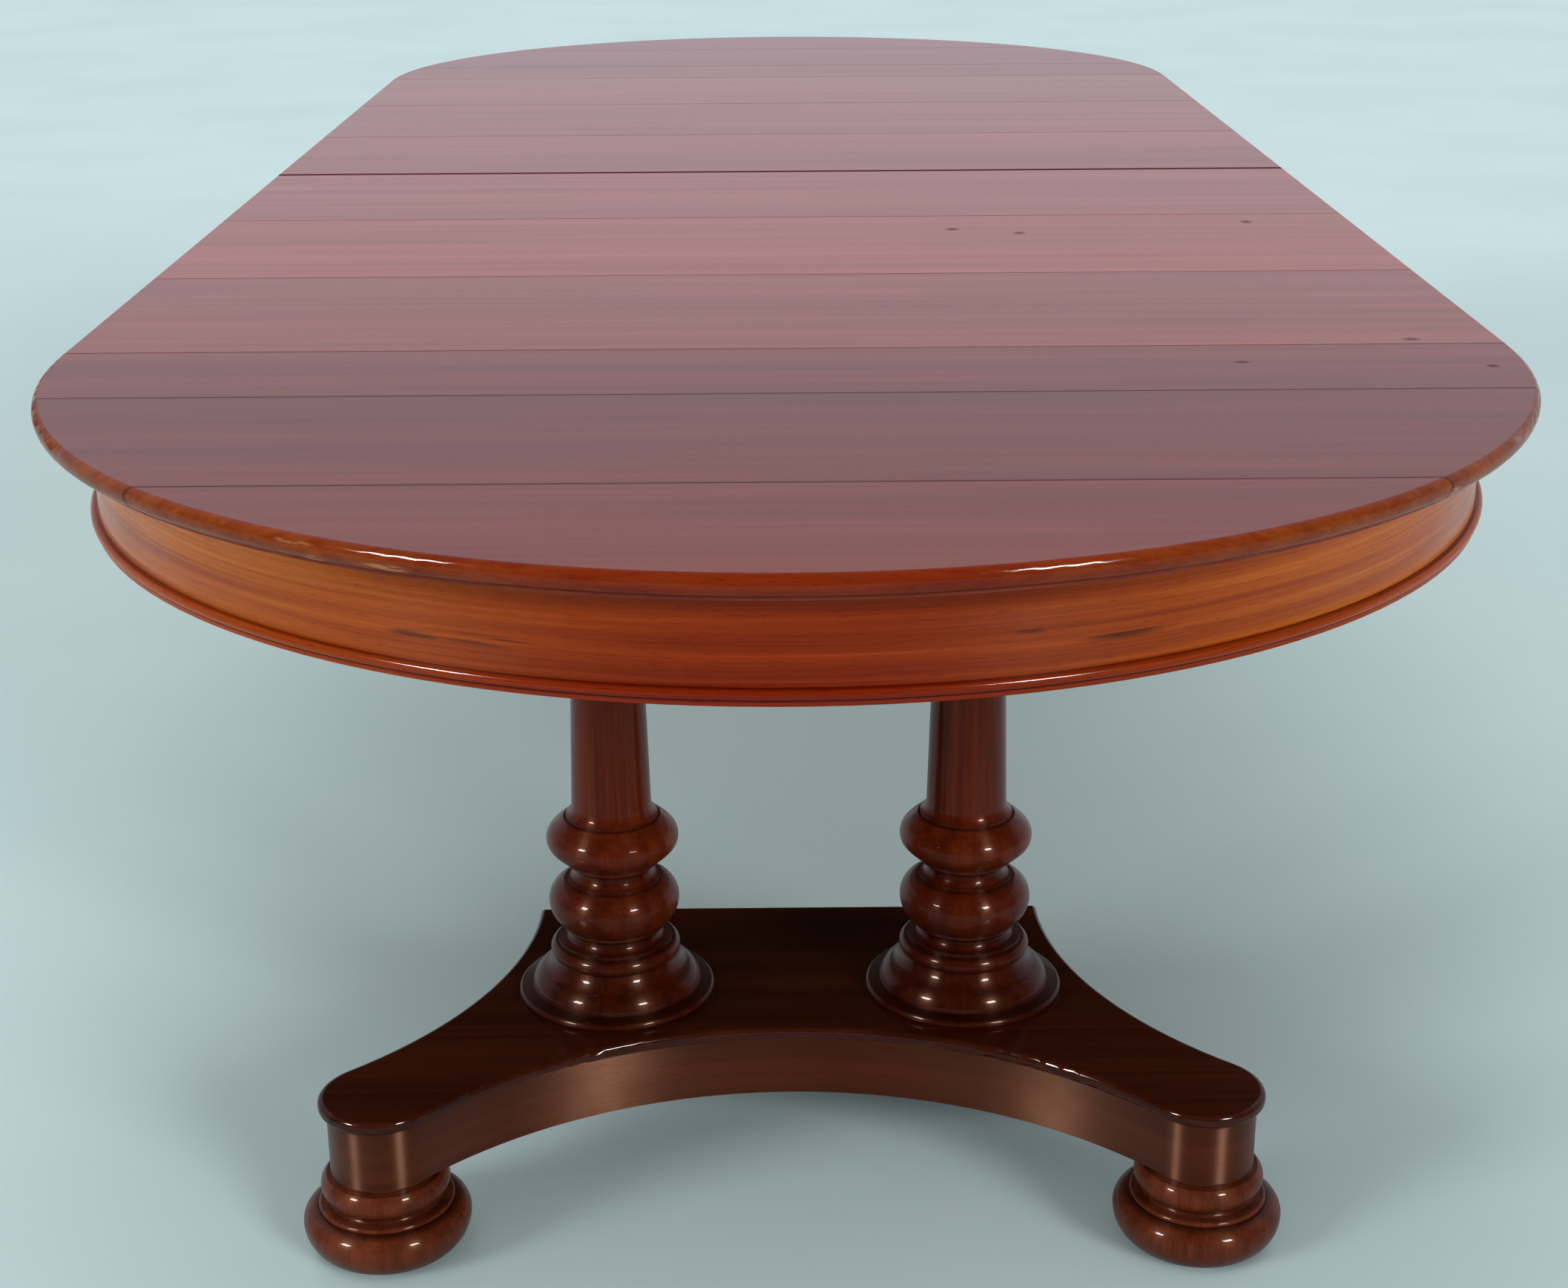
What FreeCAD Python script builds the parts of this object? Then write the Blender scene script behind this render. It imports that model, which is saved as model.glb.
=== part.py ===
import FreeCAD, Part
import math
import operator
import os
from types import SimpleNamespace

import Sketcher

# A round dining table on a split pedestal, drawn out over six loose leaves. Lengths are millimetres.
# +Z is up, the table runs along Y, and the origin is on the floor under the middle of the top.
# Each half is drawn with its own +Y pointing from the split line out to its rounded end.

SIZES = {
    # The top: two half-round ends, each glued up from three boards, with a rounded edge over a quirk
    "top_radius": 685.8,
    "top_height": 736.6,
    "top_thickness": 22.0,
    "inner_board_share": 0.255,
    "middle_board_share": 0.411,
    "nose_set_back": 6.0,
    "nose_drop": 8.0,
    "under_set_back": 9.0,
    "quirk_height": 3.0,
    "quirk_depth": 2.0,
    # The loose leaves and the dowel pins that line their edges up
    "leaf_width": 355.6,
    "leaf_lift": 0.3,
    "joint_ease": 0.8,
    "pin_radius": 5.0,
    "pin_glued": 24.0,
    "pin_reach": 18.0,
    "pin_tip": 2.0,
    "inner_pin_x": 150.0,
    "outer_pin_x": 530.0,
    # Clearances: running fits, glue lines, spare depth at the end of a hole, and overrun of a cut
    "slip": 0.3,
    "glue": 0.1,
    "spare_depth": 2.0,
    "overrun": 1.0,
    # The curved apron, its bead and the glue blocks behind it
    "apron_set_back": 47.8,
    "apron_thickness": 25.0,
    "apron_depth": 91.0,
    "bead_projection": 7.0,
    "bead_height": 9.0,
    "bead_set_back": 1.0,
    "bead_fillet_projection": 4.0,
    "bead_fillet_height": 4.0,
    "block_length": 60.0,
    "block_leg": 30.0,
    # The slide rails, dovetailed side by side
    "rail_end_gap": 14.7,
    "rail_width": 26.0,
    "rail_height": 60.0,
    "rail_gap": 0.4,
    "outer_rail_x": 320.0,
    "tongue_depth": 9.0,
    "tongue_root": 14.0,
    "tongue_tip": 22.0,
    "rail_screw_radius": 2.5,
    "rail_screw_head_radius": 5.5,
    "rail_screw_head_height": 3.0,
    "rail_counterbore_radius": 6.5,
    "rail_counterbore_depth": 30.0,
    "rail_screw_bite": 14.0,
    "rail_screw_end_margin": 20.0,
    # The bearer and head block on top of each pair of columns
    "bearer_overhang": 12.0,
    "bearer_width": 110.0,
    "bearer_thickness": 30.0,
    "bearer_corner": 25.0,
    "head_block_gap": 9.4,
    "head_block_width": 100.0,
    "bearer_screw_radius": 3.0,
    "bearer_screw_head_radius": 6.0,
    "bearer_screw_head_height": 3.0,
    "bearer_screw_bite": 25.0,
    "bearer_screw_spread": 30.0,
    "block_screw_x": 80.0,
    # The turned columns, member by member from the platform up
    "column_x": 166.0,
    "column_y": 167.0,
    "column_tenon_radius": 20.0,
    "column_foot_tenon": 45.0,
    "column_head_tenon": 28.0,
    "base_radius": 93.0,
    "base_height": 7.0,
    "base_round": 2.2,
    "bell_foot_radius": 80.0,
    "bell_shelf_rise": 2.0,
    "bell_waist_radius": 70.0,
    "bell_swell_height": 16.0,
    "bell_swell": 2.6,
    "bell_hollow_height": 14.0,
    "bell_hollow": 2.4,
    "collar_radius": 61.5,
    "collar_height": 14.0,
    "collar_round": 4.5,
    "collar_fillet_radius": 54.0,
    "collar_fillet_height": 4.0,
    "lower_neck_radius": 46.0,
    "lower_neck_height": 13.0,
    "lower_neck_depth": 4.5,
    "bulb_fillet_radius": 49.0,
    "bulb_fillet_height": 3.0,
    "bulb_foot_radius": 50.0,
    "bulb_radius": 61.5,
    "bulb_rise": 23.0,
    "bulb_fall": 20.0,
    "bulb_head_radius": 47.0,
    "neck_fillet_radius": 43.0,
    "neck_fillet_height": 3.0,
    "upper_neck_radius": 41.5,
    "upper_neck_height": 16.0,
    "upper_neck_depth": 6.0,
    "ring_fillet_radius": 44.0,
    "ring_fillet_height": 3.0,
    "ring_foot_radius": 45.5,
    "ring_flank_height": 10.0,
    "ring_flank_swell": 0.5,
    "ring_crown_foot_radius": 57.5,
    "ring_crown_height": 22.0,
    "ring_radius": 62.0,
    "shaft_fillet_radius": 43.0,
    "shaft_fillet_height": 3.0,
    "shaft_hollow_height": 11.0,
    "shaft_hollow": 1.7,
    "shaft_foot_radius": 37.3,
    "shaft_head_radius": 30.0,
    # The half platform with concave sides
    "waist": 254.0,
    "arm_offset": 364.5,
    "arm_end_radius": 55.0,
    "lip_overhang": 7.0,
    "lip_height": 12.0,
    "lip_round": 5.0,
    "core_height": 59.0,
    "dowel_radius": 8.0,
    "dowel_x": 120.0,
    "dowel_glued": 40.0,
    "dowel_reach": 30.0,
    "dowel_tip": 3.0,
    # The bun feet, member by member from the floor up
    "foot_rest_radius": 48.0,
    "bun_radius": 75.0,
    "bun_rise": 30.0,
    "bun_fall": 14.0,
    "bun_head_radius": 62.0,
    "step_foot_radius": 58.5,
    "step_radius": 60.5,
    "step_height": 5.0,
    "foot_neck_radius": 51.0,
    "foot_neck_height": 6.0,
    "foot_neck_depth": 2.5,
    "foot_ring_foot_radius": 52.0,
    "foot_ring_radius": 57.5,
    "foot_ring_height": 22.0,
    "foot_cap_radius": 48.0,
    "foot_cap_height": 4.0,
    "foot_tenon_radius": 14.0,
    "foot_tenon": 35.0,
}

LEAF_COUNT = 6
RAIL_COUNT = 5
SIDE_BLOCK_COUNT = 2
END_BLOCK_COUNT = 3
LEFT, RIGHT = -1, 1
SIDES = {"left": LEFT, "right": RIGHT}
HALVES = {"near": -1, "far": 1}
HALF_TURN = 180.0
FULL_TURN = 360.0

os.makedirs("parts", exist_ok=True)
doc = FreeCAD.newDocument("BanquetTable")
sheet = doc.addObject("Spreadsheet::Sheet", "Sizes")
for row, (alias, number) in enumerate(SIZES.items(), start=1):
    sheet.set(f"A{row}", alias)
    sheet.set(f"B{row}", str(number))
    sheet.setAlias(f"B{row}", alias)
doc.recompute()


class Size:
    """A length, as its number and as the sheet expression that gives it."""

    def __init__(self, value, text):
        self.value = value
        self.text = text

    def joined(self, other, sign, swap=False):
        other = other if isinstance(other, Size) else Size(other, f"({other})")
        first, second = (other, self) if swap else (self, other)
        act = {"+": operator.add, "-": operator.sub, "*": operator.mul, "/": operator.truediv}[sign]
        return Size(act(first.value, second.value), f"({first.text} {sign} {second.text})")

    def __add__(self, other):
        return self.joined(other, "+")

    def __radd__(self, other):
        return self.joined(other, "+", swap=True)

    def __sub__(self, other):
        return self.joined(other, "-")

    def __rsub__(self, other):
        return self.joined(other, "-", swap=True)

    def __mul__(self, other):
        return self.joined(other, "*")

    def __rmul__(self, other):
        return self.joined(other, "*", swap=True)

    def __truediv__(self, other):
        return self.joined(other, "/")

    def __neg__(self):
        return self.joined(-1, "*")

    def root(self):
        return Size(math.sqrt(self.value), f"sqrt({self.text})")


s = SimpleNamespace(**{alias: Size(sheet.get(alias), f"Sizes.{alias}") for alias in SIZES})
ZERO = s.slip * 0

# Levels and places that follow from the sizes above
underside = s.top_height - s.top_thickness
bearer_top = underside - s.rail_height
bearer_bottom = bearer_top - s.bearer_thickness
foot_height = (s.bun_rise + s.bun_fall + s.step_height + s.foot_neck_height + s.foot_ring_height
               + s.foot_cap_height)
core_top = foot_height + s.core_height
platform_top = core_top + s.lip_height
half_span = s.leaf_width * LEAF_COUNT / 2
inner_board_width = s.top_radius * s.inner_board_share
middle_board_width = s.top_radius * s.middle_board_share
apron_radius = s.top_radius - s.apron_set_back
apron_inside = apron_radius - s.apron_thickness
rail_pitch = s.rail_width + s.rail_gap
outermost_rail_face = s.outer_rail_x + s.rail_width / 2
innermost_rail_face = s.outer_rail_x - rail_pitch * (RAIL_COUNT - 1) - s.rail_width / 2
apron_at_rail = (apron_inside * apron_inside - outermost_rail_face * outermost_rail_face).root()
rail_reach = apron_at_rail - s.rail_end_gap
rail_length = rail_reach * 2
rail_travel = s.leaf_width * LEAF_COUNT / (RAIL_COUNT - 1)
pin_level = s.top_height - s.top_thickness / 2
dowel_level = foot_height + s.core_height / 2
pin_places = [side * x for side in SIDES.values() for x in (s.inner_pin_x, s.outer_pin_x)]
bearer_inner_edge = s.column_y - s.bearer_width / 2
bearer_outer_edge = s.column_y + s.bearer_width / 2
last_rail_screw = rail_reach - s.rail_screw_end_margin
rail_screw_places = [bearer_inner_edge / 2, (bearer_outer_edge + last_rail_screw) / 2, last_rail_screw]
bearer_screw_rows = [s.column_y - s.bearer_screw_spread, s.column_y + s.bearer_screw_spread]

nodes = []


def new_body(node):
    body = doc.addObject("PartDesign::Body", node)
    body.Label = node
    nodes.append(body)
    return body


def new_sketch(body, role, lift=ZERO):
    """An empty sketch on one of the body's own planes, lifted along that plane's normal."""
    sketch = body.newObject("Sketcher::SketchObject", f"{body.Name}_sketch")
    plane = next(item for item in body.Origin.OriginFeatures if item.Role == role)
    sketch.AttachmentSupport = [(plane, "")]
    sketch.MapMode = "FlatFace"
    sketch.setExpression("AttachmentOffset.Base.z", lift.text)
    return sketch


def fix(sketch, kind, size, *ends):
    index = sketch.addConstraint(Sketcher.Constraint(kind, *ends, size.value))
    sketch.setExpression(f"Constraints[{index}]", size.text)


def fix_point(sketch, x, y, geometry, end):
    origin = (-1, 1)
    fix(sketch, "DistanceX", x, *origin, geometry, end)
    fix(sketch, "DistanceY", y, *origin, geometry, end)


def arc_between(start, end, radius):
    """An arc of less than half a turn, centred to the left of the run, or right if radius is negative."""
    chord = end - start
    side = math.copysign(1, radius)
    rise = math.sqrt(radius**2 - chord.Length**2 / 4)
    across = FreeCAD.Vector(-chord.y, chord.x, 0).normalize()
    centre = (start + end) * 0.5 + across * (rise * side)
    angles = [math.atan2(point.y - centre.y, point.x - centre.x) for point in (start, end)]
    circle = Part.Circle(centre, FreeCAD.Vector(0, 0, 1), abs(radius))
    return Part.ArcOfCircle(circle, *(angles if side > 0 else reversed(angles)))


def outline(sketch, corners):
    """A closed outline drawn counter-clockwise. A corner is x, y, or x, y and the radius of the arc that
    arrives there, positive where the outline swells and negative where it is hollow."""
    points = [FreeCAD.Vector(corner[0].value, corner[1].value, 0) for corner in corners]
    runs = []
    for index, corner in enumerate(corners):
        start, end = points[index - 1], points[index]
        straight = len(corner) == 2
        swells = straight or corner[2].value > 0
        line = Part.LineSegment(start, end) if straight else arc_between(start, end, corner[2].value)
        geometry = sketch.addGeometry(line)
        runs.append((geometry, 1, 2) if swells else (geometry, 2, 1))
    for index, (geometry, first, last) in enumerate(runs):
        following, entry, _ = runs[(index + 1) % len(runs)]
        sketch.addConstraint(Sketcher.Constraint("Coincident", geometry, last, following, entry))
        fix_point(sketch, corners[index][0], corners[index][1], geometry, last)
        if len(corners[index]) > 2:
            radius = corners[index][2]
            fix(sketch, "Radius", radius if radius.value > 0 else -radius, geometry)


def circles(sketch, places, radius):
    for x, y in places:
        centre = FreeCAD.Vector(x.value, y.value, 0)
        geometry = sketch.addGeometry(Part.Circle(centre, FreeCAD.Vector(0, 0, 1), radius.value))
        fix(sketch, "Radius", radius, geometry)
        fix_point(sketch, x, y, geometry, 3)


def rectangle(sketch, low_x, low_y, high_x, high_y):
    outline(sketch, [(low_x, low_y), (high_x, low_y), (high_x, high_y), (low_x, high_y)])


def add_feature(body, kind, sketch, **settings):
    feature = body.newObject(f"PartDesign::{kind}", f"{body.Name}_{kind.lower()}")
    feature.Profile = sketch
    for name, setting in settings.items():
        if isinstance(setting, Size):
            feature.setExpression(name, setting.text)
        else:
            setattr(feature, name, setting)
    doc.recompute()
    return feature


def pad(body, sketch, length, backwards=False):
    return add_feature(body, "Pad", sketch, Length=length, Reversed=backwards)


def cut(body, sketch, depth, backwards=False):
    before = body.Shape.Volume
    pocket = add_feature(body, "Pocket", sketch, Length=depth, Reversed=backwards)
    if not pocket.Shape.Volume < before:
        raise ValueError(f"a cut in {body.Label} removes nothing")
    return pocket


def turn(body, sketch, angle=FULL_TURN):
    return add_feature(body, "Revolution", sketch, ReferenceAxis=(sketch, ["V_Axis"]), Angle=angle)


def dress(body, kind, base, size_name, size, wanted):
    """A fillet or chamfer on the edges of the base feature that are wanted."""
    edges = [f"Edge{i}" for i, edge in enumerate(base.Shape.Edges, start=1) if wanted(edge)]
    feature = body.newObject(f"PartDesign::{kind}", f"{body.Name}_{kind.lower()}")
    feature.Base = (base, edges)
    feature.setExpression(size_name, size.text)
    doc.recompute()
    return feature


def place_in_half(item, half):
    """Turns a piece drawn in a half's own frame to that half's end of the table."""
    item.Placement = FreeCAD.Placement(
        FreeCAD.Vector(), FreeCAD.Rotation(FreeCAD.Vector(0, 0, 1), HALF_TURN if half == "near" else 0))
    item.setExpression("Placement.Base.y", (half_span * HALVES[half]).text)


def sweep_radius(reach, length):
    """The radius of an arc that leaves square to its reach and drops by that reach over a length."""
    return (reach * reach + length * length) / (reach * 2)


def swell_radius(chord, height):
    """The radius of an arc that stands a height above its chord."""
    return (chord * chord / 4 + height * height) / (height * 2)


def slant(across, up):
    return (across * across + up * up).root()


def nose_corners(edge_x, top, bottom):
    """The rounded edge of the top, drawn upwards: quirk, under round and upper round."""
    foot_x = edge_x - s.under_set_back
    quirk_top = bottom + s.quirk_height
    widest = top - s.nose_drop
    return [
        (foot_x - s.quirk_depth, bottom),
        (foot_x - s.quirk_depth, quirk_top),
        (foot_x, quirk_top),
        (edge_x, widest, sweep_radius(s.under_set_back, widest - quirk_top)),
        (edge_x - s.nose_set_back, top, sweep_radius(s.nose_set_back, s.nose_drop)),
    ]


def is_level(edge, height):
    return all(abs(vertex.Z - height.value) < s.glue.value for vertex in edge.Vertexes)


def is_arc(edge):
    return isinstance(edge.Curve, Part.Circle)


def rail_x(side, index):
    return side * (s.outer_rail_x - rail_pitch * index)


def fixed_rail(half):
    return 0 if half == "near" else RAIL_COUNT - 1


def ease_joint(body, places):
    """Takes the sharp upper corner off the straight edges at these places along Y."""
    reach = s.top_radius + s.overrun
    for y in places:
        corner = new_sketch(body, "YZ_Plane", -reach)
        above = s.top_height + s.joint_ease
        outline(corner, [(y - s.joint_ease * 2, above), (y, s.top_height - s.joint_ease),
                         (y + s.joint_ease * 2, above)])
        cut(body, corner, reach * 2, backwards=True)


def half_round_top(half):
    """The half-round end, three boards edge to edge, with the sockets or pin holes of its straight edge."""
    own_rail = fixed_rail(half)
    edges = [ZERO, inner_board_width, inner_board_width + middle_board_width, s.top_radius]
    for index, board in enumerate(("inner", "middle", "outer")):
        body = new_body(f"{half}_top_{board}_board")
        section = new_sketch(body, "XZ_Plane")
        nose = nose_corners(s.top_radius, s.top_height, underside)
        outline(section, [(ZERO, underside), *nose, (ZERO, s.top_height)])
        turn(body, section, HALF_TURN)
        beyond = s.top_radius + s.overrun
        for low, high in ((-s.overrun, edges[index]), (edges[index + 1], beyond)):
            if high.value > 0 and low.value < s.top_radius.value:
                waste = new_sketch(body, "XY_Plane", s.top_height + s.overrun)
                rectangle(waste, -beyond, low, beyond, high)
                cut(body, waste, s.top_thickness + s.overrun * 2)
        if board == "inner":
            holes = new_sketch(body, "XZ_Plane")
            if half == "near":
                circles(holes, [(x, pin_level) for x in pin_places], s.pin_radius + s.slip)
                cut(body, holes, s.pin_reach + s.spare_depth)
            else:
                circles(holes, [(x, pin_level) for x in pin_places], s.pin_radius + s.glue)
                cut(body, holes, s.pin_glued)
            ease_joint(body, [ZERO])
        low, high = edges[index].value, edges[index + 1].value
        for screw_y in (y for y in rail_screw_places if low < y.value < high):
            screws = new_sketch(body, "XY_Plane", underside)
            circles(screws, [(rail_x(side, own_rail), screw_y) for side in SIDES.values()],
                    s.rail_screw_radius + s.glue)
            cut(body, screws, s.rail_screw_bite + s.spare_depth, backwards=True)
        place_in_half(body, half)


def pin_row(node, level, places, radius, glued, reach, tip, half=None):
    """Dowels standing out of a straight edge, glued in on the +Y side of it."""
    body = new_body(node)
    sketch = new_sketch(body, "XZ_Plane", reach)
    circles(sketch, [(x, level) for x in places], radius)
    rods = pad(body, sketch, reach + glued - s.glue, backwards=True)
    free_end = -reach.value
    dress(body, "Chamfer", rods, "Size", tip,
          lambda edge: all(abs(vertex.Y - free_end) < s.glue.value for vertex in edge.Vertexes))
    if half:
        place_in_half(body, half)
    return body


def leaf(index):
    """A loose leaf: a plain board, rounded at both ends, with pins on one edge and sockets on the other."""
    body = new_body(f"leaf_{index}")
    near_edge = s.leaf_width * (index - 1) - half_span
    bottom = underside + s.leaf_lift
    nose = nose_corners(s.top_radius, s.top_height, bottom)
    section = new_sketch(body, "XZ_Plane", -s.leaf_width)
    under_round, upper_round = nose[3][2], nose[4][2]
    left = [(-x, z) for x, z, *_ in reversed(nose)]
    outline(section, [*nose, left[0], (*left[1], upper_round), (*left[2], under_round), *left[3:]])
    pad(body, section, s.leaf_width)
    glue_holes = new_sketch(body, "XZ_Plane")
    circles(glue_holes, [(x, pin_level) for x in pin_places], s.pin_radius + s.glue)
    cut(body, glue_holes, s.pin_glued)
    sockets = new_sketch(body, "XZ_Plane", -s.leaf_width)
    circles(sockets, [(x, pin_level) for x in pin_places], s.pin_radius + s.slip)
    cut(body, sockets, s.pin_reach + s.spare_depth, backwards=True)
    ease_joint(body, [ZERO, s.leaf_width])
    body.setExpression("Placement.Base.y", near_edge.text)
    pins = pin_row(f"leaf_{index}_pins", pin_level, pin_places, s.pin_radius, s.pin_glued, s.pin_reach,
                   s.pin_tip)
    pins.setExpression("Placement.Base.y", near_edge.text)


def apron(half):
    """The curved apron, the bead along its lower edge and the glue blocks in the corner behind it."""
    bottom = underside - s.apron_depth
    body = new_body(f"{half}_apron")
    section = new_sketch(body, "XZ_Plane")
    rectangle(section, apron_inside, bottom, apron_radius, underside)
    turn(body, section, HALF_TURN)
    place_in_half(body, half)

    bead = new_body(f"{half}_apron_bead")
    section = new_sketch(bead, "XZ_Plane")
    seat = apron_radius + s.glue
    fillet_top = bottom + s.bead_fillet_height
    bead_foot = apron_radius + s.bead_fillet_projection - s.bead_set_back
    outline(section, [
        (seat, bottom),
        (apron_radius + s.bead_fillet_projection, bottom),
        (apron_radius + s.bead_fillet_projection, fillet_top),
        (bead_foot, fillet_top),
        (bead_foot, fillet_top + s.bead_height,
         swell_radius(s.bead_height, apron_radius + s.bead_projection - bead_foot)),
        (seat, fillet_top + s.bead_height),
    ])
    turn(bead, section, HALF_TURN)
    place_in_half(bead, half)

    rail_angle = math.degrees(math.atan2(rail_reach.value, s.outer_rail_x.value))
    beside = [rail_angle * step / (SIDE_BLOCK_COUNT + 1) for step in range(1, SIDE_BLOCK_COUNT + 1)]
    end_arc = HALF_TURN - rail_angle * 2
    around_end = [rail_angle + end_arc * step / (END_BLOCK_COUNT + 1)
                  for step in range(1, END_BLOCK_COUNT + 1)]
    seat_x = math.sqrt((apron_inside.value - s.glue.value)**2 - s.block_length.value**2 / 4)
    leg = s.block_leg.value
    half_length = s.block_length.value / 2
    top = underside.value
    blocks = []
    for angle in [*beside, *around_end, *(HALF_TURN - angle for angle in beside)]:
        corners = [(seat_x, top), (seat_x - leg, top), (seat_x, top - leg), (seat_x, top)]
        face = Part.Face(Part.makePolygon([FreeCAD.Vector(x, -half_length, z) for x, z in corners]))
        block = face.extrude(FreeCAD.Vector(0, s.block_length.value, 0))
        block.rotate(FreeCAD.Vector(), FreeCAD.Vector(0, 0, 1), angle)
        blocks.append(block)
    group = doc.addObject("Part::Feature", f"{half}_glue_blocks")
    group.Shape = Part.makeCompound(blocks)
    place_in_half(group, half)
    nodes.append(group)


def rail(node, side, index, half=None):
    """A slide rail: a dovetail tongue on its inner side and the groove for its neighbour's on its outer
    side. A rail that is fixed under one half is bored from below for its screws."""
    body = new_body(node)
    low, high = bearer_top, underside
    middle = (low + high) / 2
    inner = rail_x(side, index) - side * s.rail_width / 2
    outer = rail_x(side, index) + side * s.rail_width / 2
    corners = [(outer, low), (outer, high), (inner, high), (inner, low)]
    if index < RAIL_COUNT - 1:
        tip = inner - side * s.tongue_depth
        corners[3:3] = [(inner, middle + s.tongue_root / 2), (tip, middle + s.tongue_tip / 2),
                        (tip, middle - s.tongue_tip / 2), (inner, middle - s.tongue_root / 2)]
    if index > 0:
        floor = outer - side * (s.tongue_depth + s.slip - s.rail_gap)
        root, end = s.tongue_root / 2 + s.slip, s.tongue_tip / 2 + s.slip
        corners[1:1] = [(outer, middle - root), (floor, middle - end),
                        (floor, middle + end), (outer, middle + root)]
    section = new_sketch(body, "XZ_Plane", -rail_reach)
    outline(section, corners if side == RIGHT else list(reversed(corners)))
    pad(body, section, rail_length)
    if half:
        outwards = HALVES[half]
        x = rail_x(side, index)
        shafts = new_sketch(body, "XY_Plane", low)
        circles(shafts, [(x, outwards * y) for y in rail_screw_places], s.rail_screw_radius + s.glue)
        cut(body, shafts, s.rail_height, backwards=True)
        counterbores = new_sketch(body, "XY_Plane", low)
        circles(counterbores, [(x, outwards * y) for y in rail_screw_places], s.rail_counterbore_radius)
        cut(body, counterbores, s.rail_counterbore_depth, backwards=True)
        bearer_holes = new_sketch(body, "XY_Plane", low)
        circles(bearer_holes, [(x, outwards * y) for y in bearer_screw_rows],
                s.bearer_screw_radius + s.glue)
        cut(body, bearer_holes, s.bearer_screw_bite + s.spare_depth, backwards=True)
    body.setExpression("Placement.Base.y", (rail_travel * index - half_span).text)


def screw_group(node, places, seat, radius, length, head_radius, head_height, half):
    """Round-head screws driven upwards, all alike, with their heads under the seat."""
    body = new_body(node)
    heads = new_sketch(body, "XY_Plane", seat - head_height)
    circles(heads, places, head_radius)
    pad(body, heads, head_height)
    shanks = new_sketch(body, "XY_Plane", seat - head_height / 2)
    circles(shanks, places, radius)
    pad(body, shanks, head_height / 2 + length)
    place_in_half(body, half)


def column_head(half):
    """The bearer that the columns tenon into, the head block on it and the screws of this half."""
    own_rail = fixed_rail(half)
    rail_screws = [(rail_x(side, own_rail), y) for side in SIDES.values() for y in bearer_screw_rows]
    block_screws = [(side * s.block_screw_x, y) for side in SIDES.values() for y in bearer_screw_rows]

    bearer = new_body(f"{half}_bearer")
    plan = new_sketch(bearer, "XY_Plane", bearer_bottom)
    bearer_reach = outermost_rail_face + s.bearer_overhang
    rectangle(plan, -bearer_reach, bearer_inner_edge, bearer_reach, bearer_outer_edge)
    plank = pad(bearer, plan, s.bearer_thickness)
    dress(bearer, "Fillet", plank, "Radius", s.bearer_corner,
          lambda edge: abs(edge.Vertexes[0].Z - edge.Vertexes[-1].Z) > s.overrun.value)
    mortises = new_sketch(bearer, "XY_Plane", bearer_bottom)
    circles(mortises, [(side * s.column_x, s.column_y) for side in SIDES.values()],
            s.column_tenon_radius + s.glue)
    cut(bearer, mortises, s.bearer_thickness, backwards=True)
    holes = new_sketch(bearer, "XY_Plane", bearer_bottom)
    circles(holes, rail_screws + block_screws, s.bearer_screw_radius + s.glue)
    cut(bearer, holes, s.bearer_thickness, backwards=True)
    place_in_half(bearer, half)

    block = new_body(f"{half}_head_block")
    plan = new_sketch(block, "XY_Plane", bearer_top)
    block_reach = innermost_rail_face - s.head_block_gap
    rectangle(plan, -block_reach, s.column_y - s.head_block_width / 2,
              block_reach, s.column_y + s.head_block_width / 2)
    pad(block, plan, s.rail_height)
    holes = new_sketch(block, "XY_Plane", bearer_top)
    circles(holes, block_screws, s.bearer_screw_radius + s.glue)
    cut(block, holes, s.bearer_screw_bite + s.spare_depth, backwards=True)
    place_in_half(block, half)

    screw_group(f"{half}_bearer_screws", rail_screws + block_screws, bearer_bottom, s.bearer_screw_radius,
                s.bearer_thickness + s.bearer_screw_bite, s.bearer_screw_head_radius,
                s.bearer_screw_head_height, half)
    screw_group(f"{half}_rail_screws",
                [(rail_x(side, own_rail), y) for side in SIDES.values() for y in rail_screw_places],
                bearer_top + s.rail_counterbore_depth, s.rail_screw_radius,
                s.rail_height - s.rail_counterbore_depth + s.rail_screw_bite, s.rail_screw_head_radius,
                s.rail_screw_head_height, half)


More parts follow.
